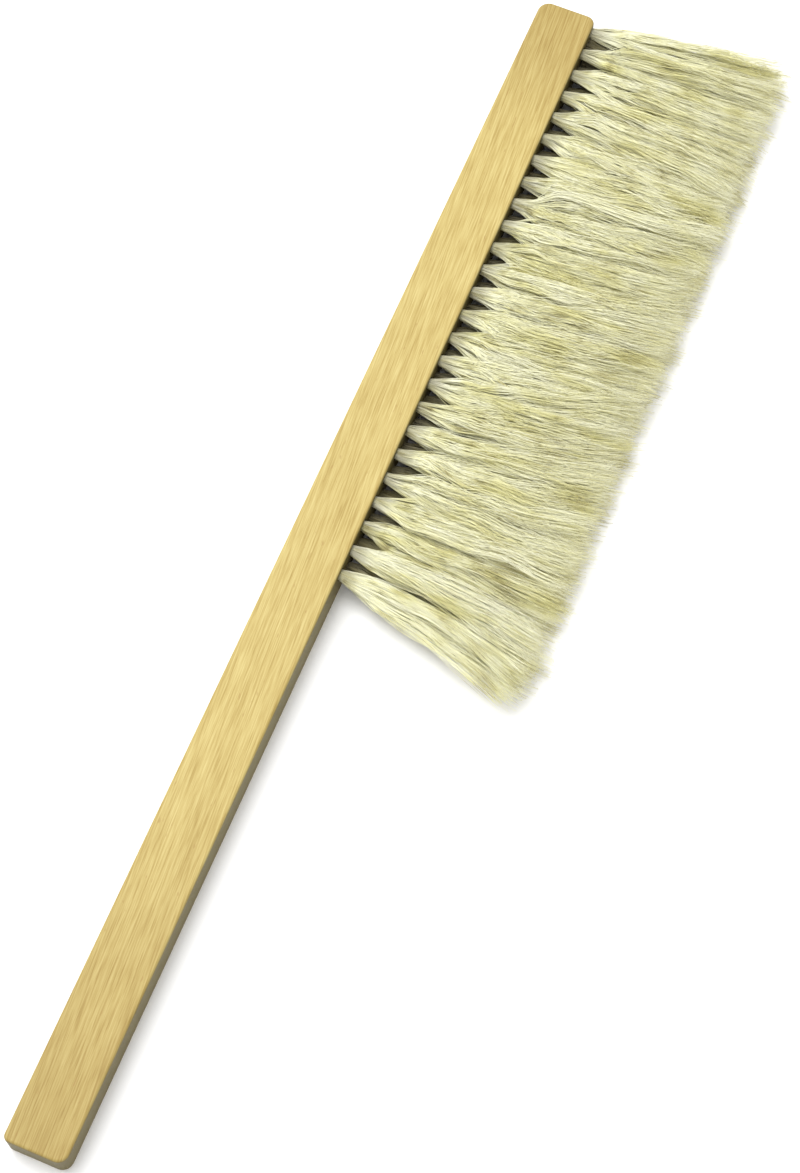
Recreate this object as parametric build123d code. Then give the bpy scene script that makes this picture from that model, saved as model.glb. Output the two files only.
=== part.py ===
from build123d import *

import math
import os

# Bee brush: a long flat beech handle with two staggered rows of horsehair tufts in one narrow edge.
# Each tuft is a bundle of hair folded in half over a flat wire anchor at the bottom of a blind hole.
#
# Millimetres. The brush lies on its broad side: +X runs along the handle towards the bristled head,
# the hair points to -Y, and +Z is up. The origin is the centre of the handle's lower broad face.

# Handle
HANDLE_LENGTH = 418.0
HANDLE_WIDTH = 19.7
HANDLE_THICKNESS = 13.0
HEAD_BACK_CORNER = 4.0
HEAD_HAIR_CORNER = 3.0
GRIP_HAIR_CORNER = 3.5
GRIP_BACK_CORNER = 2.0
EDGE_RADIUS = 1.0

# Tuft holes
TUFT_COUNT = 25
PITCH = 9.0
HEAD_MARGIN = 4.0
ROW_SPACING = 6.0
HOLE_DIAMETER = 4.4
HOLE_DEPTH = 11.0

# Hair
ROOT_DIAMETER = 4.3
ROOT_GAP = 0.2
HAIR_LENGTH = 67.0
FLARE_LENGTH = 12.0
FLARE_STEPS = 4
BRUSH_STEPS = 5
TUFT_FILL = 0.94
MAX_HALF_WIDTH = 6.0
UPPER_HALF_HEIGHT = 3.2
LOWER_HALF_HEIGHT = 3.1

# Fan of the tufts, in degrees from square to the handle, positive towards the head
BASE_LEAN = 0.5
HEAD_LEAN = 6.0
MIDDLE_LEAN = 5.5
GRIP_LEAN = -12.5
LEAN_REACH = 18.0
MIDDLE_REACH = 40.0
# Share of a tuft's lean that builds up along its length, from none at the head to this at the grip end
GRIP_CURL = 0.7

# Flat wire anchors
ANCHOR_LENGTH = 5.2
ANCHOR_WIDTH = 2.0
ANCHOR_THICKNESS = 0.45
ANCHOR_SEAT = 1.2

HAIR_FACE_Y = -HANDLE_WIDTH / 2
BACK_FACE_Y = HANDLE_WIDTH / 2
HOLE_FLOOR_Y = HAIR_FACE_Y + HOLE_DEPTH
FIRST_TUFT_X = HANDLE_LENGTH / 2 - HEAD_MARGIN
BRISTLED_SPAN = (TUFT_COUNT - 1) * PITCH
UPPER_ROW_Z = (HANDLE_THICKNESS + ROW_SPACING) / 2
LOWER_ROW_Z = (HANDLE_THICKNESS - ROW_SPACING) / 2

# The upper row starts close to the corner of the handle. Each lower tuft fills a gap of the upper row.
UPPER_ROW_X = [FIRST_TUFT_X - PITCH * index for index in range(TUFT_COUNT)]
LOWER_ROW_X = [x + PITCH / 2 for x in UPPER_ROW_X[1:]]


def handle_blank():
    """The bar before drilling: rounded corners in plan, and softened broad-face edges."""
    half_length = HANDLE_LENGTH / 2
    corners = {
        (half_length, BACK_FACE_Y): HEAD_BACK_CORNER,
        (half_length, HAIR_FACE_Y): HEAD_HAIR_CORNER,
        (-half_length, HAIR_FACE_Y): GRIP_HAIR_CORNER,
        (-half_length, BACK_FACE_Y): GRIP_BACK_CORNER,
    }
    outline = make_face(Polyline(*corners, close=True))
    for corner, radius in corners.items():
        vertex = outline.vertices().sort_by_distance(corner)[0]
        outline = fillet(vertex, radius)
    blank = extrude(outline, HANDLE_THICKNESS)
    broad_faces = blank.faces().filter_by(Axis.Z)
    return fillet(broad_faces.edges(), EDGE_RADIUS)


def anchor(x, z):
    """One flat wire anchor, lying across its hole with both ends bitten into the wood."""
    y = HOLE_FLOOR_Y - ANCHOR_SEAT - ANCHOR_WIDTH / 2
    return Pos(x, y, z) * Box(ANCHOR_LENGTH, ANCHOR_WIDTH, ANCHOR_THICKNESS)


def hole(x, z):
    """One blind tuft hole, drilled square into the narrow edge."""
    centre_y = HAIR_FACE_Y + HOLE_DEPTH / 2
    return Pos(x, centre_y, z) * Rot(90, 0, 0) * Cylinder(HOLE_DIAMETER / 2, HOLE_DEPTH)


def drilled_handle():
    """The handle with its tuft holes and the slits that the anchors cut in the hole walls."""
    cutters = []
    for row_x, row_z in ((UPPER_ROW_X, UPPER_ROW_Z), (LOWER_ROW_X, LOWER_ROW_Z)):
        cutters += [hole(x, row_z) for x in row_x]
        cutters += [anchor(x, row_z) for x in row_x]
    return handle_blank() - cutters


def lean(x):
    """Angle of the tuft rooted at x: fanned out at both ends, with a slight sweep between them."""
    from_head = FIRST_TUFT_X - x
    from_grip = BRISTLED_SPAN - from_head
    from_middle = from_head - BRISTLED_SPAN / 2
    degrees = BASE_LEAN
    degrees += HEAD_LEAN * math.exp(-from_head / LEAN_REACH)
    degrees += MIDDLE_LEAN * math.exp(-((from_middle / MIDDLE_REACH) ** 2))
    degrees += GRIP_LEAN * math.exp(-from_grip / LEAN_REACH)
    return math.radians(degrees)


def tuft_x(root_x, out):
    """Middle of a tuft at a distance out from the handle: straight at the head, curled at the grip end."""
    curl = GRIP_CURL * (FIRST_TUFT_X - root_x) / BRISTLED_SPAN
    bend = 1 - curl + curl * out / HAIR_LENGTH
    return root_x + math.tan(lean(root_x)) * out * bend


def half_width(root_x, out):
    """Half of a tuft's width: a round bundle at the hole, then all the room beside its neighbours."""
    middle = tuft_x(root_x, out)
    room = min(abs(tuft_x(root_x + step, out) - middle) for step in (-PITCH, PITCH))
    spread = min(TUFT_FILL * room / 2, MAX_HALF_WIDTH)
    flare = math.sin(math.pi / 2 * min(out / FLARE_LENGTH, 1))
    return ROOT_DIAMETER / 2 + (spread - ROOT_DIAMETER / 2) * flare


def stations():
    """Distances out from the handle at which a tuft's section is set."""
    flare = [FLARE_LENGTH * step / FLARE_STEPS for step in range(FLARE_STEPS + 1)]
    brush_length = HAIR_LENGTH - FLARE_LENGTH
    brush = [FLARE_LENGTH + brush_length * step / BRUSH_STEPS for step in range(1, BRUSH_STEPS + 1)]
    return flare + brush


def tuft(root_x, root_z, spread_z, half_height):
    """One tuft: a root bundle slotted round its anchor, and a free brush that flares and leans."""
    sections = []
    for out in stations():
        flare = min(out / FLARE_LENGTH, 1)
        centre = (tuft_x(root_x, out), HAIR_FACE_Y - out, root_z + (spread_z - root_z) * flare)
        height = ROOT_DIAMETER / 2 + (half_height - ROOT_DIAMETER / 2) * flare
        plane = Plane(origin=centre, x_dir=(1, 0, 0), z_dir=(0, -1, 0))
        sections.append(plane * Ellipse(half_width(root_x, out), height))
    free_hair = loft(sections, ruled=True)
    root_length = HOLE_DEPTH - ROOT_GAP
    root = Pos(root_x, HAIR_FACE_Y + root_length / 2, root_z)
    root *= Rot(90, 0, 0)
    bundle = root * Cylinder(ROOT_DIAMETER / 2, root_length)
    return free_hair + bundle - anchor(root_x, root_z)


def export(name, shape):
    """Write one sub-part."""
    shape.label = name
    export_step(shape, f"parts/{name}.step")


os.makedirs("parts", exist_ok=True)

export("handle", drilled_handle())

rows = {
    "upper": (UPPER_ROW_X, UPPER_ROW_Z, HANDLE_THICKNESS / 2 + UPPER_HALF_HEIGHT, UPPER_HALF_HEIGHT),
    "lower": (LOWER_ROW_X, LOWER_ROW_Z, LOWER_HALF_HEIGHT, LOWER_HALF_HEIGHT),
}
for row_name, (row_x, row_z, spread_z, half_height) in rows.items():
    for number, x in enumerate(row_x, start=1):
        export(f"tuft_{row_name}_{number:02d}", tuft(x, row_z, spread_z, half_height))
    export(f"anchors_{row_name}_row", Compound([anchor(x, row_z) for x in row_x]))
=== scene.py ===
import math

import bpy
import numpy as np
from mathutils import Matrix, Vector


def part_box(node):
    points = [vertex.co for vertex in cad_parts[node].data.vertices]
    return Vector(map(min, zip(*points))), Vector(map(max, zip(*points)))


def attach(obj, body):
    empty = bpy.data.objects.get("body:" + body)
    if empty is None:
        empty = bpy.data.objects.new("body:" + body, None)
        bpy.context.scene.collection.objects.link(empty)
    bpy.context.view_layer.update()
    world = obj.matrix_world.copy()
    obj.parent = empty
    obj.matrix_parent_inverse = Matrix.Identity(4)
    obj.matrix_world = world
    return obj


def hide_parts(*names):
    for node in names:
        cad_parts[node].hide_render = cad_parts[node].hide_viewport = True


# Bee brush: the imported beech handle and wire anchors, with every tuft rebuilt as folded horsehairs.
# Lengths are in metres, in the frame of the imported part: the head end is towards +X, the hair points
# to -Y, and the brush lies on the floor at Z = 0. Colours are linear.
MM = 0.001

# Camera: a long lens high above the grip end, turned so that the handle runs up the picture.
# The up angle is where the top of the picture points, from +X towards +Y.
CAMERA_TARGET = Vector((-0.0088, -0.0289, 0.0130))
CAMERA_PLACE = Vector((-0.2956, -0.1458, 0.7629))
CAMERA_UP_ANGLE = math.radians(22.72)
CAMERA_LENS_MM = 80.78
SENSOR_MM = 36.0
CLIP_START = 0.01
CLIP_END = 50.0

# Studio
FLOOR_SIZE = 12.0
FLOOR_COLOUR = (0.94, 0.94, 0.94)
FLOOR_ROUGHNESS = 0.9
WORLD_COLOUR = (1.0, 1.0, 1.0)
WORLD_STRENGTH = 0.86
KEY_PLACE = Vector((0.25, 0.75, 2.20))
KEY_SIZE = 1.6
KEY_WATTS = 50.0

# Noise of the materials. Its scales are in features a metre, along X, Y and Z.
FINE_DETAIL = 4.0
MEDIUM_DETAIL = 3.0
SOFT_DETAIL = 2.0
PLAIN_DETAIL = 1.0
NOISE_ROUGHNESS = 0.55

# Beech: streaks and bands that run a little across the bar, and small dark flecks
GRAIN_TURN = math.radians(4.0)
STREAK_SCALE = (75.0, 2100.0, 600.0)
STREAK_NOISE_ROUGHNESS = 0.62
STREAK_RELIEF = 0.06 * MM
STREAK_COLOURS = (
    (0.30, (0.360, 0.252, 0.068)),
    (0.46, (0.465, 0.354, 0.118)),
    (0.58, (0.528, 0.424, 0.159)),
    (0.72, (0.590, 0.488, 0.204)),
)
BAND_SCALE = (6.0, 170.0, 80.0)
BAND_STRENGTH = 0.8
BAND_TINTS = (
    (0.35, (0.93, 0.91, 0.86)),
    (0.62, (1.0, 1.0, 1.0)),
)
FLECK_SCALE = (300.0, 900.0, 900.0)
FLECK_NOISE = (0.70, 0.80)
FLECK_STRENGTH = 0.45
FLECK_COLOUR = (0.330, 0.200, 0.060)
BEECH_ROUGHNESS = 0.55
BEECH_SPECULAR = 0.30

# Wear of the beech at its two handled ends: how far in from an end it starts, and where it is full.
# It is full beyond the head end, so that end is less worn. Patches shift the wear and vary its tint.
GRIP_WEAR_START = 150.0 * MM
GRIP_WEAR_FULL = 30.0 * MM
HEAD_WEAR_START = 45.0 * MM
HEAD_WEAR_FULL = -10.0 * MM
WEAR_STRENGTH = 0.7
WEAR_SHIFT = 30.0 * MM
WEAR_DARK_TINT = (0.64, 0.58, 0.49)
WEAR_PALE_TINT = (0.77, 0.71, 0.61)
PATCH_SCALE = (16.0, 40.0, 40.0)

# Painted shade on the hair-side narrow face and the ends of the bar: a dark colour for the shade these
# faces lie in. It fades out over the rounded edges of the broad faces, and of the back narrow face,
# which stays plain.
PAINTED_EDGE_SHADE_COLOUR = (0.085, 0.070, 0.020)
PAINTED_EDGE_SHADE_STRENGTH = 0.86
PAINTED_EDGE_SHADE_FADE = 1.0 * MM
BACK_FADE = 0.8 * MM

# Anchor wire
DIE_LINE_SCALE = (40.0, 4000.0, 4000.0)
STEEL_COLOURS = (
    (0.3, (0.46, 0.45, 0.43)),
    (0.7, (0.66, 0.65, 0.62)),
)
WIRE_ROUGHNESS = 0.35

# Horsehair: a colour by the shade of the hair, from 0 to 1, with straw patches and painted shade at the
# roots
HAIR_COLOURS = (
    (0.00, (0.420, 0.375, 0.145)),
    (0.20, (0.740, 0.705, 0.360)),
    (0.50, (0.965, 0.950, 0.610)),
    (1.00, (0.990, 0.985, 0.760)),
)
STRAW_SCALE = (150.0, 36.0, 60.0)
STRAW_NOISE = (0.50, 0.68)
STRAW_STRENGTH = 0.75
STRAW_TINT = (0.86, 0.835, 0.55)
# Painted shade at the roots: the colour the hair darkens to near the hole, for the shadow under the
# handle's edge and between the tufts
ROOT_SHADE_COLOUR = (0.120, 0.090, 0.034)
HAIR_ROUGHNESS = 0.42
SHEEN_ROUGHNESS = 0.35
SHEEN_TINT = (1.0, 0.95, 0.74)

# The lower row lies under the upper one, in its shadow: it is duller, and its tint and its roots, darker
# and dark for longer, are painted shade.
UPPER_ROW_SHADE_TINT = (1.0, 1.0, 1.0)
UPPER_ROOT_SHADE_REACH = 9.0 * MM
UPPER_ROOT_SHADE_STRENGTH = 0.60
UPPER_SHINE = 0.4
LOWER_ROW_SHADE_TINT = (0.92, 0.90, 0.84)
LOWER_ROOT_SHADE_REACH = 19.0 * MM
LOWER_ROOT_SHADE_STRENGTH = 0.86
LOWER_SHINE = 0.15

# Folded hairs. Each one has two legs, which leave the hole on the two sides of the wire anchor. The
# points of a leg crowd towards its root. A fold bulges by a share of half the gap between its legs.
FOLDED_HAIRS = 220
LEGS = 2 * FOLDED_HAIRS
HAIR_RADIUS = 0.105 * MM
TIP_RADIUS = 0.045 * MM
HAIR_SIDES = 3
LEG_POINTS = 18
LEG_SHARE = np.linspace(0, 1, LEG_POINTS)
ROOT_CROWDING = 1.25
FOLD_POINTS = 5
FOLD_BULGE = 0.35

# Sections of a tuft's CAD solid: the fewest mesh points that make one, all at the same distance out
# from the handle once it is rounded to tenths of a millimetre
SECTION_POINTS = 12
SECTION_DIGITS = 4

# Mouth of a tuft: its size at the hole as a share of its CAD solid's, which turns into the whole over
# OPEN_LENGTH. Room: the most that it is to each side at the hole, which grows with the distance out.
OPEN_LENGTH = 14.0 * MM
TIGHT_MOUTH = 0.80
TIGHT_ROOM = 2.3 * MM
LOOSE_MOUTH = 1.3
LOOSE_ROOM = 3.3 * MM
WIDE_MOUTH = 2.7
WIDE_ROOM = 6.0 * MM
ROOM_GROWTH = 0.17

# Hairs cling together in fine strands, and strands in locks.
LOCKS = 12
STRANDS = 34
GATHER_LENGTH = 32.0 * MM
LOCK_PULL = 0.35
STRAND_PULL = 0.82

# Drift: how far locks, strands and single hairs lean and wave, less up and down than sideways
LOCK_LEAN = math.radians(1.8)
STRAND_LEAN = math.radians(2.0)
HAIR_LEAN = math.radians(1.3)
LOCK_WAVE = 0.8 * MM
STRAND_WAVE = 1.0 * MM
HAIR_WAVE = 0.55 * MM
WAVE_BENDS = 8
STRAY_SHARE = 0.08
STRAY_LEAN = math.radians(5.0)
UPWARD_DRIFT = 0.5
# Tufts near the two ends of the bristled span drift and spread less: how much of it is left at the
# very end, and the share of the span over which it grows to the whole.
END_LOOSENESS = 0.6
END_SHARE = 0.09

# Lengths of the hairs, as shares of the CAD tuft's
MEAN_LENGTH = 0.985
STRAND_SPREAD = 0.030
HAIR_SPREAD = 0.018
SHORT_SHARE = 0.22
SHORT_CUT = 0.10

# Shades. Streaks change along a strand, more at its tip than at its root, and a few hairs are darker.
MEAN_SHADE = 0.70
LOCK_SHADE = 0.07
STRAND_SHADE = 0.17
STREAK_SHADE = 0.29
ROOT_STREAKS = 0.7
TIP_STREAKS = 1.3
HAIR_SHADE = 0.10
DARK_SHARE = 0.05
DARK_DROP = 0.4

# Swirls of the brush: the share of the bristled span from the head end where each one lies, its
# half width as such a share, and how far it combs the tips sideways, positive towards the head.
SWIRLS = (
    (0.155, 0.075, math.radians(-11.0)),
    (0.70, 0.085, math.radians(13.0)),
    (0.885, 0.05, math.radians(6.0)),
)

# Random seed of each row's first tuft; the others count on from it
UPPER_SEED = 99
LOWER_SEED = 200

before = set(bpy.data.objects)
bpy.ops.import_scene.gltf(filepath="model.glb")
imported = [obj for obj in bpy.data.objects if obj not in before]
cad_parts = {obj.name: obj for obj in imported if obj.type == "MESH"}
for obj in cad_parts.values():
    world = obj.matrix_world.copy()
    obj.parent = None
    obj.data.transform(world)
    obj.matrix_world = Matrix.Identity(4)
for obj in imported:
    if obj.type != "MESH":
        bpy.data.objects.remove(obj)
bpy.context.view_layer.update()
HANDLE_LOW, HANDLE_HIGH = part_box("handle")
FACE_Y = HANDLE_LOW.y
HANDLE_MIDDLE_Z = (HANDLE_LOW.z + HANDLE_HIGH.z) / 2
HANDLE_HALF_Z = (HANDLE_HIGH.z - HANDLE_LOW.z) / 2
UPPER_TUFTS = sorted(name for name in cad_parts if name.startswith("tuft_upper"))
LOWER_TUFTS = sorted(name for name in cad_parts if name.startswith("tuft_lower"))


# ---------------------------------------------------------------- node helpers

# Sockets of a Mix node that mixes colours
MIX_FACTOR = 0
MIX_FIRST = 6
MIX_SECOND = 7
MIX_RESULT = 2


def new_material(name):
    """An empty node material and its Principled shader."""
    material = bpy.data.materials.new(name)
    material.use_nodes = True
    return material, material.node_tree.nodes["Principled BSDF"]


def opaque(colour):
    """A colour with full alpha."""
    return (*colour, 1.0)


def feed(material, value, socket):
    """Link value to a socket if it is an output, or else set the socket to it."""
    if isinstance(value, bpy.types.NodeSocket):
        material.node_tree.links.new(value, socket)
    else:
        socket.default_value = value


def feed_inputs(material, node, **inputs):
    """Feed a node's inputs by name, with spaces written as underscores."""
    for name, value in inputs.items():
        feed(material, value, node.inputs[name.replace("_", " ")])


def add_node(material, kind, **inputs):
    """A node with its inputs fed by name."""
    node = material.node_tree.nodes.new(kind)
    feed_inputs(material, node, **inputs)
    return node


def colour_ramp(material, factor, stops):
    """A colour ramp over factor, from (position, colour) stops."""
    node = add_node(material, "ShaderNodeValToRGB", Fac=factor)
    elements = node.color_ramp.elements
    while len(elements) < len(stops):
        elements.new(0.5)
    for element, (position, colour) in zip(elements, stops):
        element.position = position
        element.color = opaque(colour)
    return node.outputs["Color"]


def mix_colours(material, factor, first, second, blend_type="MIX"):
    """first mixed with second; each of them may be a value or an output, and so may factor."""
    node = add_node(material, "ShaderNodeMix")
    node.data_type = "RGBA"
    node.blend_type = blend_type
    feed(material, factor, node.inputs[MIX_FACTOR])
    feed(material, first, node.inputs[MIX_FIRST])
    feed(material, second, node.inputs[MIX_SECOND])
    return node.outputs[MIX_RESULT]


def map_range(material, value, low, high, to_low=0.0, to_high=1.0):
    """value taken smoothly from low..high to to_low..to_high."""
    limits = {"From_Min": low, "From_Max": high, "To_Min": to_low, "To_Max": to_high}
    node = add_node(material, "ShaderNodeMapRange", Value=value, **limits)
    node.interpolation_type = "SMOOTHSTEP"
    return node.outputs["Result"]


def maths(material, operation, first, second=0.0):
    """One math node; either side may be a number or an output."""
    node = add_node(material, "ShaderNodeMath")
    node.operation = operation
    feed(material, first, node.inputs[0])
    feed(material, second, node.inputs[1])
    return node.outputs["Value"]


def attribute(material, name):
    """The value of a mesh attribute."""
    node = add_node(material, "ShaderNodeAttribute")
    node.attribute_name = name
    return node.outputs["Fac"]


def object_place(material):
    """The place of the shaded point, in object space."""
    return add_node(material, "ShaderNodeTexCoord").outputs["Object"]


def stretched_noise(material, scale, detail, turn=0.0, roughness=NOISE_ROUGHNESS):
    """Noise in object space, turned about Z, with a scale for each axis."""
    place = object_place(material)
    turned = add_node(material, "ShaderNodeMapping", Vector=place, Rotation=(0.0, 0.0, -turn))
    stretched = add_node(material, "ShaderNodeMapping", Vector=turned.outputs["Vector"], Scale=scale)
    noise = add_node(material, "ShaderNodeTexNoise", Scale=1.0, Detail=detail, Roughness=roughness)
    feed_inputs(material, noise, Vector=stretched.outputs["Vector"])
    return noise.outputs["Fac"]


def relief(material, height, depth):
    """The normals of a relief from a height output, depth deep."""
    node = add_node(material, "ShaderNodeBump", Height=height, Strength=1.0, Distance=depth)
    return node.outputs["Normal"]


# ---------------------------------------------------------------- materials


def bare_beech(material, streaks):
    """Colour of the clean wood: streaks, with bands over them."""
    bands = stretched_noise(material, BAND_SCALE, SOFT_DETAIL, GRAIN_TURN)
    streak_colour = colour_ramp(material, streaks, STREAK_COLOURS)
    band_tint = colour_ramp(material, bands, BAND_TINTS)
    return mix_colours(material, BAND_STRENGTH, streak_colour, band_tint, "MULTIPLY")


def worn_ends(material, wood, place_x):
    """wood, darkened in patches at the grip end and the head end."""
    patches = stretched_noise(material, PATCH_SCALE, SOFT_DETAIL)
    shift = maths(material, "MULTIPLY", patches, WEAR_SHIFT)
    along = maths(material, "ADD", place_x, shift)
    grip_wear = map_range(
        material, along, HANDLE_LOW.x + GRIP_WEAR_START, HANDLE_LOW.x + GRIP_WEAR_FULL
    )
    head_wear = map_range(
        material, along, HANDLE_HIGH.x - HEAD_WEAR_START, HANDLE_HIGH.x - HEAD_WEAR_FULL
    )
    full_wear = maths(material, "MAXIMUM", grip_wear, head_wear)
    wear = maths(material, "MULTIPLY", full_wear, WEAR_STRENGTH)
    tint = mix_colours(material, patches, opaque(WEAR_DARK_TINT), opaque(WEAR_PALE_TINT))
    return mix_colours(material, wear, wood, tint, "MULTIPLY")


def shade_painted_edges(material, wood, place_y, place_z):
    """wood, darkened with painted shade between the broad faces everywhere but on the back narrow face.
    """
    from_middle = maths(material, "ABSOLUTE", maths(material, "SUBTRACT", place_z, HANDLE_MIDDLE_Z))
    edge = map_range(material, from_middle, HANDLE_HALF_Z, HANDLE_HALF_Z - PAINTED_EDGE_SHADE_FADE)
    not_back = map_range(material, place_y, HANDLE_HIGH.y - BACK_FADE, HANDLE_HIGH.y, 1.0, 0.0)
    # Painted shade: a dark colour on the hair-side narrow face and the ends, for the shade they lie in
    edge_shade_mask = maths(material, "MULTIPLY", edge, PAINTED_EDGE_SHADE_STRENGTH)
    painted_shade = maths(material, "MULTIPLY", edge_shade_mask, not_back)
    return mix_colours(material, painted_shade, wood, opaque(PAINTED_EDGE_SHADE_COLOUR))


def beech_material():
    """Plain sanded beech with flecks, worn ends, and painted shade on its hair-side edge and ends."""
    material, shader = new_material("beech")
    place = add_node(material, "ShaderNodeSeparateXYZ", Vector=object_place(material))
    streaks = stretched_noise(material, STREAK_SCALE, FINE_DETAIL, GRAIN_TURN, STREAK_NOISE_ROUGHNESS)
    wood = worn_ends(material, bare_beech(material, streaks), place.outputs["X"])

    flecks = stretched_noise(material, FLECK_SCALE, PLAIN_DETAIL, GRAIN_TURN)
    fleck_mask = map_range(material, flecks, *FLECK_NOISE, 0.0, FLECK_STRENGTH)
    flecked = mix_colours(material, fleck_mask, wood, opaque(FLECK_COLOUR))
    feed_inputs(
        material,
        shader,
        Base_Color=shade_painted_edges(material, flecked, place.outputs["Y"], place.outputs["Z"]),
        Roughness=BEECH_ROUGHNESS,
        Specular_IOR_Level=BEECH_SPECULAR,
        Normal=relief(material, streaks, STREAK_RELIEF),
    )
    return material


def hair_material(name, tint, root_shade_reach, root_shade_strength, shine):
    """Pale horsehair: a shade for each hair, straw patches, a row tint that is painted shade, and
    painted shade at the roots that darkens towards the hole.
    """
    material, shader = new_material(name)
    hair_colour = colour_ramp(material, attribute(material, "shade"), HAIR_COLOURS)
    patches = stretched_noise(material, STRAW_SCALE, SOFT_DETAIL)
    straw = map_range(material, patches, *STRAW_NOISE, 0.0, STRAW_STRENGTH)
    strawed = mix_colours(material, straw, hair_colour, opaque(STRAW_TINT), "MULTIPLY")
    # Painted shade: the row tint darkens the lower row, which lies in the upper row's shadow
    row_shaded = mix_colours(material, 1.0, strawed, opaque(tint), "MULTIPLY")
    # Painted shade: the hair darkens towards the hole, for the shadow its roots lie in
    root = map_range(material, attribute(material, "out"), root_shade_reach, 0.0, 0.0, root_shade_strength)
    feed_inputs(
        material,
        shader,
        Base_Color=mix_colours(material, root, row_shaded, opaque(ROOT_SHADE_COLOUR)),
        Roughness=HAIR_ROUGHNESS,
        Specular_IOR_Level=shine,
        Sheen_Weight=shine,
        Sheen_Roughness=SHEEN_ROUGHNESS,
        Sheen_Tint=opaque(SHEEN_TINT),
    )
    return material


def wire_material():
    """Drawn steel wire, with faint die lines along it."""
    material, shader = new_material("anchor_wire")
    lines = stretched_noise(material, DIE_LINE_SCALE, MEDIUM_DETAIL)
    steel = colour_ramp(material, lines, STEEL_COLOURS)
    feed_inputs(material, shader, Base_Color=steel, Metallic=1.0, Roughness=WIRE_ROUGHNESS)
    return material


def floor_material():
    """Matt pale floor."""
    material, shader = new_material("floor")
    feed_inputs(
        material,
        shader,
        Base_Color=opaque(FLOOR_COLOUR),
        Roughness=FLOOR_ROUGHNESS,
        Specular_IOR_Level=0.0,
    )
    return material


def set_material(node, material):
    """The material of a CAD node that stays."""
    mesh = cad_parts[node].data
    mesh.materials.clear()
    mesh.materials.append(material)


# ---------------------------------------------------------------- hair


def tuft_sections(node):
    """Sections of a tuft's CAD solid outside the handle, from the hole to the tip.

    Each one is its distance out, its middle X and Z, and its half size in X and Z.
    """
    points = np.array([vertex.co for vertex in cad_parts[node].data.vertices])
    distance = np.round(FACE_Y - points[:, 1], SECTION_DIGITS)
    sections = []
    for out in np.unique(distance[distance >= 0]):
        ring = points[distance == out]
        if len(ring) < SECTION_POINTS:
            continue
        middle = (ring.min(0) + ring.max(0)) / 2
        half = (ring.max(0) - ring.min(0)) / 2
        sections.append((out, middle[0], middle[2], half[0], half[2]))
    return np.array(sections)


# The bristled span, from where the first tuft of the upper row leaves the handle to where the last does
FIRST_ROOT_X = tuft_sections(UPPER_TUFTS[0])[0, 1]
LAST_ROOT_X = tuft_sections(UPPER_TUFTS[-1])[0, 1]


def smooth(share):
    """A smooth step from 0 to 1."""
    share = np.clip(share, 0.0, 1.0)
    return share * share * (3 - 2 * share)


def disc(rng, count):
    """Even random points in a unit disc."""
    angle = rng.uniform(0, 2 * math.pi, count)
    radius = np.sqrt(rng.uniform(0, 1, count))
    return np.stack([radius * np.cos(angle), radius * np.sin(angle)], axis=1)


def nearest(points, centres):
    """Index of the nearest centre to each point."""
    gap = points[:, None, :] - centres[None, :, :]
    return np.argmin((gap**2).sum(2), axis=1)


def clumps(rng):
    """Each leg's start in a unit disc, its strand and lock, and the middles of that strand and lock."""
    # The first leg of each hair leaves above the anchor, and its second leg below.
    start = disc(rng, LEGS)
    start[:FOLDED_HAIRS, 1] = np.abs(start[:FOLDED_HAIRS, 1])
    start[FOLDED_HAIRS:, 1] = -np.abs(start[FOLDED_HAIRS:, 1])
    lock_middle = disc(rng, LOCKS)
    strand_middle = disc(rng, STRANDS)
    strand = nearest(start, strand_middle)
    lock = nearest(strand_middle, lock_middle)[strand]
    return start, strand, lock, strand_middle[strand], lock_middle[lock]


def waves(rng, count, size):
    """Sideways waves for count hairs, strands or locks, with sharper bends smaller than wide ones."""
    total = np.zeros((count, LEG_POINTS, 2))
    for bends in range(1, WAVE_BENDS + 1):
        height = rng.normal(0, size / bends, (count, 1, 2))
        total += height * np.sin(math.pi * bends * LEG_SHARE)[None, :, None]
    return total


def leans_and_waves(rng, strand, lock):
    """How far each leg leans sideways and up, and how it waves along the way."""
    lean = rng.normal(0, LOCK_LEAN, (LOCKS, 2))[lock]
    lean += rng.normal(0, STRAND_LEAN, (STRANDS, 2))[strand]
    lean += rng.normal(0, HAIR_LEAN, (LEGS, 2))
    stray = rng.uniform(0, 1, LEGS) < STRAY_SHARE
    lean[stray] += rng.normal(0, STRAY_LEAN, (stray.sum(), 2))
    wave = waves(rng, LOCKS, LOCK_WAVE)[lock]
    wave += waves(rng, STRANDS, STRAND_WAVE)[strand]
    wave += waves(rng, LEGS, HAIR_WAVE)
    return lean, wave


def leg_lengths(rng, strand, full_length):
    """Length of each leg: strands and hairs differ a little, and some hairs are cut short."""
    spread = rng.normal(0, STRAND_SPREAD, STRANDS)[strand] + rng.normal(0, HAIR_SPREAD, LEGS)
    short = rng.uniform(0, 1, LEGS) < SHORT_SHARE
    spread[short] -= rng.uniform(0, SHORT_CUT, short.sum())
    return full_length * (MEAN_LENGTH + spread)


def leg_shades(rng, strand, lock):
    """Shade of each leg at its points, from 0, dark straw, to 1, pale."""
    level = rng.normal(0, LOCK_SHADE, LOCKS)[lock] + rng.normal(0, HAIR_SHADE, LEGS)
    level[rng.uniform(0, 1, LEGS) < DARK_SHARE] -= DARK_DROP
    streaks = rng.normal(0, STREAK_SHADE, (STRANDS, LEG_POINTS))
    streaks *= ROOT_STREAKS + (TIP_STREAKS - ROOT_STREAKS) * LEG_SHARE
    streaks += rng.normal(0, STRAND_SHADE, (STRANDS, 1))
    return np.clip(MEAN_SHADE + level[:, None] + streaks[strand], 0, 1)


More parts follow.
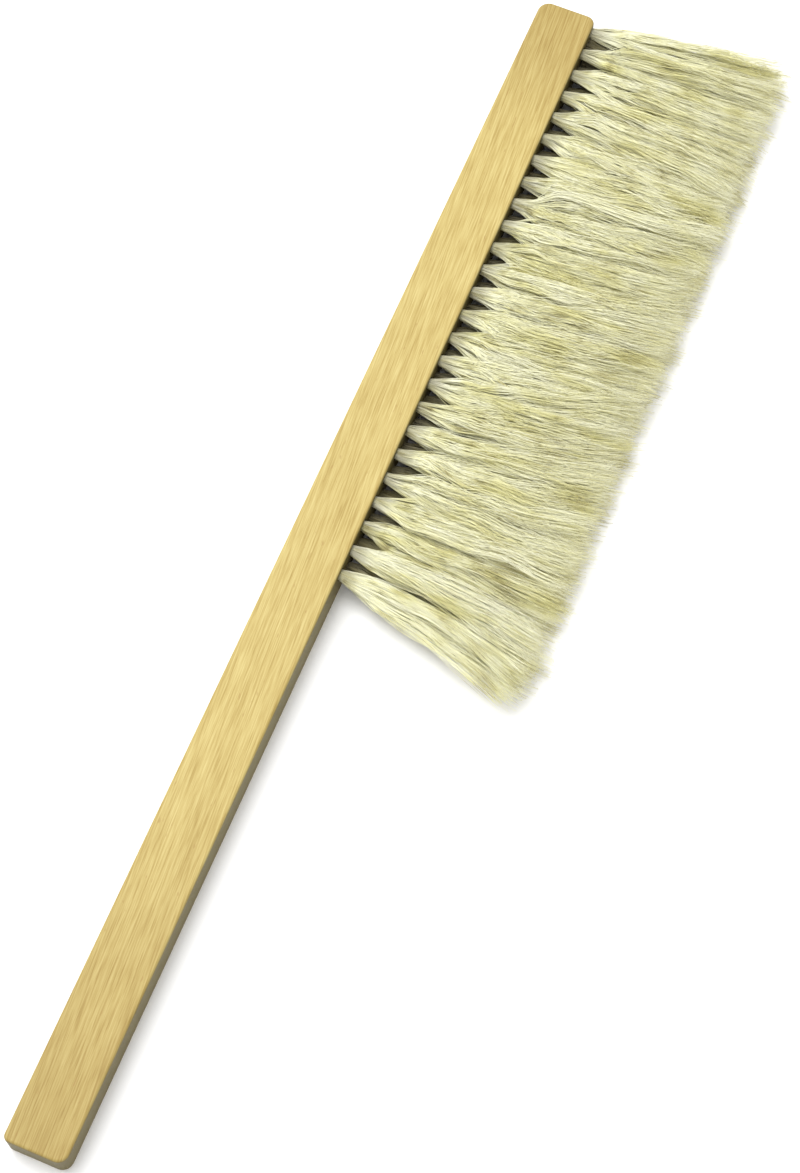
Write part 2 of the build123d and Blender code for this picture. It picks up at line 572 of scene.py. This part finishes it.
def span_looseness(span_share):
    """How freely the hairs of a tuft drift and spread, by its place in the bristled span."""
    inwards = smooth(min(span_share, 1 - span_share) / END_SHARE)
    return END_LOOSENESS + (1 - END_LOOSENESS) * inwards


def combing(span_share):
    """Angle by which the swirls comb the tips of a tuft, by its place in the bristled span."""
    return sum(turn * math.exp(-(((span_share - at) / width) ** 2)) for at, width, turn in SWIRLS)


def tuft_legs(sections, mouth, room, span_share, rng):
    """Free legs of a tuft's hairs, from the hole's mouth to the tips, and their shade along the way."""
    full_length = sections[-1, 0]
    start, strand, lock, strand_middle, lock_middle = clumps(rng)
    lean, wave = leans_and_waves(rng, strand, lock)
    length = leg_lengths(rng, strand, full_length)

    out = length[:, None] * LEG_SHARE**ROOT_CROWDING
    distance, *columns = sections.T
    middle_x, middle_z, half_x, half_z = (np.interp(out, distance, column) for column in columns)
    looseness = span_looseness(span_share)
    opened = np.minimum(out / OPEN_LENGTH, 1)
    half_x *= mouth + (1 - mouth) * opened
    half_x = np.minimum(half_x, room + ROOM_GROWTH * looseness * out)
    half_z *= mouth + (1 - mouth) * opened

    # On the way out, each leg is pulled towards the middles of its strand and its lock.
    gather = smooth(out / GATHER_LENGTH)[:, :, None]
    place = start[:, None, :] * (1 - STRAND_PULL * gather)
    place += strand_middle[:, None, :] * (STRAND_PULL - LOCK_PULL) * gather
    place += lock_middle[:, None, :] * LOCK_PULL * gather
    # The combing bends a leg evenly, from straight at its root to the whole angle at full length.
    comb = math.tan(combing(span_share)) * out**2 / full_length / 2
    drift = looseness * opened[:, :, None] * (out[:, :, None] * np.tan(lean)[:, None, :] + wave)
    x = middle_x + half_x * place[:, :, 0] + drift[:, :, 0] + comb
    z = middle_z + half_z * place[:, :, 1] + UPWARD_DRIFT * drift[:, :, 1]
    above_floor = np.maximum(z, HAIR_RADIUS)

    # A leg that goes sideways reaches less far out, so that it keeps its length.
    sideways = np.diff(x, axis=1) ** 2 + np.diff(above_floor, axis=1) ** 2
    step = np.sqrt(np.maximum(np.diff(out, axis=1) ** 2 - sideways, 0))
    y = FACE_Y - np.concatenate([np.zeros((LEGS, 1)), np.cumsum(step, axis=1)], axis=1)
    return np.stack([x, y, above_floor], axis=2), leg_shades(rng, strand, lock)


def folds(legs, anchor_low, anchor_high):
    """The bend of each hair round the inner edge of its anchor, joining an upper and a lower leg."""
    upper, lower = legs[:FOLDED_HAIRS, 0], legs[FOLDED_HAIRS:, 0]
    middle_x = (upper[:, 0] + lower[:, 0]) / 2
    anchor_z = (anchor_low.z + anchor_high.z) / 2
    clear = (anchor_high.z - anchor_low.z) / 2 + HAIR_RADIUS
    above = np.maximum(upper[:, 2] - anchor_z, clear)
    below = np.maximum(anchor_z - lower[:, 2], clear)
    bulge = HAIR_RADIUS + FOLD_BULGE * (above + below) / 2
    points = []
    for turn in np.linspace(math.pi / 2, -math.pi / 2, FOLD_POINTS):
        side = above if turn > 0 else below
        z = anchor_z + side * math.sin(turn)
        y = anchor_high.y + bulge * math.cos(turn)
        points.append(np.stack([middle_x, y, z], axis=1))
    return np.stack(points, axis=1)


def tube_mesh(name, paths, radius, attributes):
    """A mesh of closed thin tubes along paths, an array of hair by point by XYZ.

    The radius is given for each point of a path. An attribute is given for each point of each path.
    """
    count, length, _ = paths.shape
    along = np.gradient(paths, axis=1)
    along /= np.linalg.norm(along, axis=2, keepdims=True)
    across = np.array([1.0, 0.0, 0.0]) - along[:, :, :1] * along
    across /= np.linalg.norm(across, axis=2, keepdims=True)
    upright = np.cross(along, across)
    rings = []
    for side in range(HAIR_SIDES):
        angle = 2 * math.pi * side / HAIR_SIDES
        rings.append(paths + radius[:, None] * (math.cos(angle) * across + math.sin(angle) * upright))
    points = np.stack(rings, axis=2)

    index = np.arange(count * length * HAIR_SIDES).reshape(count, length, HAIR_SIDES)
    near, far = index[:, :-1], index[:, 1:]
    walls = np.stack([near, np.roll(near, -1, 2), np.roll(far, -1, 2), far], axis=-1).reshape(-1, 4)
    first_caps = index[:, 0, ::-1].reshape(-1, HAIR_SIDES)
    last_caps = index[:, -1].reshape(-1, HAIR_SIDES)

    loops = np.concatenate([walls.ravel(), first_caps.ravel(), last_caps.ravel()])
    sizes = np.concatenate([np.full(len(walls), 4), np.full(2 * count, HAIR_SIDES)])
    starts = np.concatenate([[0], np.cumsum(sizes)[:-1]])
    mesh = bpy.data.meshes.new(name)
    mesh.vertices.add(points.size // 3)
    mesh.vertices.foreach_set("co", points.ravel())
    mesh.loops.add(len(loops))
    mesh.loops.foreach_set("vertex_index", loops)
    mesh.polygons.add(len(sizes))
    mesh.polygons.foreach_set("loop_start", starts)
    mesh.polygons.foreach_set("use_smooth", np.ones(len(sizes), bool))
    for attribute_name, values in attributes.items():
        layer = mesh.attributes.new(attribute_name, "FLOAT", "POINT")
        layer.data.foreach_set("value", np.repeat(values.ravel(), HAIR_SIDES))
    mesh.update()
    mesh.validate()
    return mesh


def hair_tuft(node, anchor_node, mouth, room, seed, material):
    """One tuft of folded hairs in place of its CAD solid."""
    rng = np.random.default_rng(seed)
    sections = tuft_sections(node)
    span_share = (FIRST_ROOT_X - sections[0, 1]) / (FIRST_ROOT_X - LAST_ROOT_X)
    legs, shade = tuft_legs(sections, mouth, room, span_share, rng)
    upper, lower = legs[:FOLDED_HAIRS], legs[FOLDED_HAIRS:]
    paths = np.concatenate([upper[:, ::-1], folds(legs, *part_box(anchor_node)), lower], axis=1)

    leg_radius = HAIR_RADIUS + (TIP_RADIUS - HAIR_RADIUS) * LEG_SHARE**2
    radius = np.concatenate([leg_radius[::-1], np.full(FOLD_POINTS, HAIR_RADIUS), leg_radius])
    upper_shade, lower_shade = shade[:FOLDED_HAIRS], shade[FOLDED_HAIRS:]
    fold_shade = np.repeat(upper_shade[:, :1], FOLD_POINTS, axis=1)
    hair_shade = np.concatenate([upper_shade[:, ::-1], fold_shade, lower_shade], axis=1)
    out = np.maximum(FACE_Y - paths[:, :, 1], 0)

    name = node.replace("tuft", "hair")
    piece = bpy.data.objects.new(name, tube_mesh(name, paths, radius, {"shade": hair_shade, "out": out}))
    bpy.context.scene.collection.objects.link(piece)
    piece.data.materials.append(material)
    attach(piece, "root")
    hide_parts(node)


# ---------------------------------------------------------------- studio


def aim(thing, place, target, up):
    """Put a camera or light at place, looking at target, with up towards its top."""
    back = (place - target).normalized()
    right = up.cross(back).normalized()
    thing.location = place
    thing.rotation_mode = "QUATERNION"
    thing.rotation_quaternion = Matrix((right, back.cross(right), back)).transposed().to_quaternion()


def add_camera():
    """The camera, at the reference viewing angle."""
    data = bpy.data.cameras.new("camera")
    data.lens = CAMERA_LENS_MM
    data.sensor_width = SENSOR_MM
    data.clip_start = CLIP_START
    data.clip_end = CLIP_END
    camera = bpy.data.objects.new("camera", data)
    up = Vector((math.cos(CAMERA_UP_ANGLE), math.sin(CAMERA_UP_ANGLE), 0.0))
    aim(camera, CAMERA_PLACE, CAMERA_TARGET, up)
    bpy.context.scene.collection.objects.link(camera)
    bpy.context.scene.camera = camera


def add_key_light():
    """One soft square light, aimed at the middle of the handle."""
    data = bpy.data.lights.new("key", "AREA")
    data.shape = "SQUARE"
    data.size = KEY_SIZE
    data.energy = KEY_WATTS
    light = bpy.data.objects.new("key", data)
    aim(light, KEY_PLACE, Vector((0.0, 0.0, 0.0)), Vector((0.0, 0.0, 1.0)))
    bpy.context.scene.collection.objects.link(light)


def add_floor():
    """A wide pale floor, which the brush lies on."""
    half = FLOOR_SIZE / 2
    mesh = bpy.data.meshes.new("floor")
    corners = [(-half, -half, 0), (half, -half, 0), (half, half, 0), (-half, half, 0)]
    mesh.from_pydata(corners, [], [(0, 1, 2, 3)])
    floor = bpy.data.objects.new("floor", mesh)
    floor.data.materials.append(floor_material())
    bpy.context.scene.collection.objects.link(floor)


def add_surround():
    """Even white light from all round, shown without a film look."""
    world = bpy.data.worlds.new("surround")
    world.use_nodes = True
    background = world.node_tree.nodes["Background"]
    background.inputs["Color"].default_value = opaque(WORLD_COLOUR)
    background.inputs["Strength"].default_value = WORLD_STRENGTH
    bpy.context.scene.world = world
    bpy.context.scene.view_settings.view_transform = "Standard"


# ---------------------------------------------------------------- the brush

add_camera()
add_floor()
add_surround()
add_key_light()

set_material("handle", beech_material())
wire = wire_material()
set_material("anchors_upper_row", wire)
set_material("anchors_lower_row", wire)

upper_hair = hair_material(
    "horsehair_upper", UPPER_ROW_SHADE_TINT, UPPER_ROOT_SHADE_REACH, UPPER_ROOT_SHADE_STRENGTH, UPPER_SHINE
)
# The lower row's material is a shaded copy of the upper one's, with painted shade in its tint and roots
lower_hair = hair_material(
    "horsehair_lower", LOWER_ROW_SHADE_TINT, LOWER_ROOT_SHADE_REACH, LOWER_ROOT_SHADE_STRENGTH, LOWER_SHINE
)
for number, node in enumerate(UPPER_TUFTS):
    hair_tuft(node, "anchors_upper_row", TIGHT_MOUTH, TIGHT_ROOM, UPPER_SEED + number, upper_hair)
# The first lower tuft spreads wide, so that no floor shows beside it between the first upper two.
hair_tuft(LOWER_TUFTS[0], "anchors_lower_row", WIDE_MOUTH, WIDE_ROOM, LOWER_SEED, lower_hair)
for number, node in enumerate(LOWER_TUFTS[1:], start=1):
    hair_tuft(node, "anchors_lower_row", LOOSE_MOUTH, LOOSE_ROOM, LOWER_SEED + number, lower_hair)
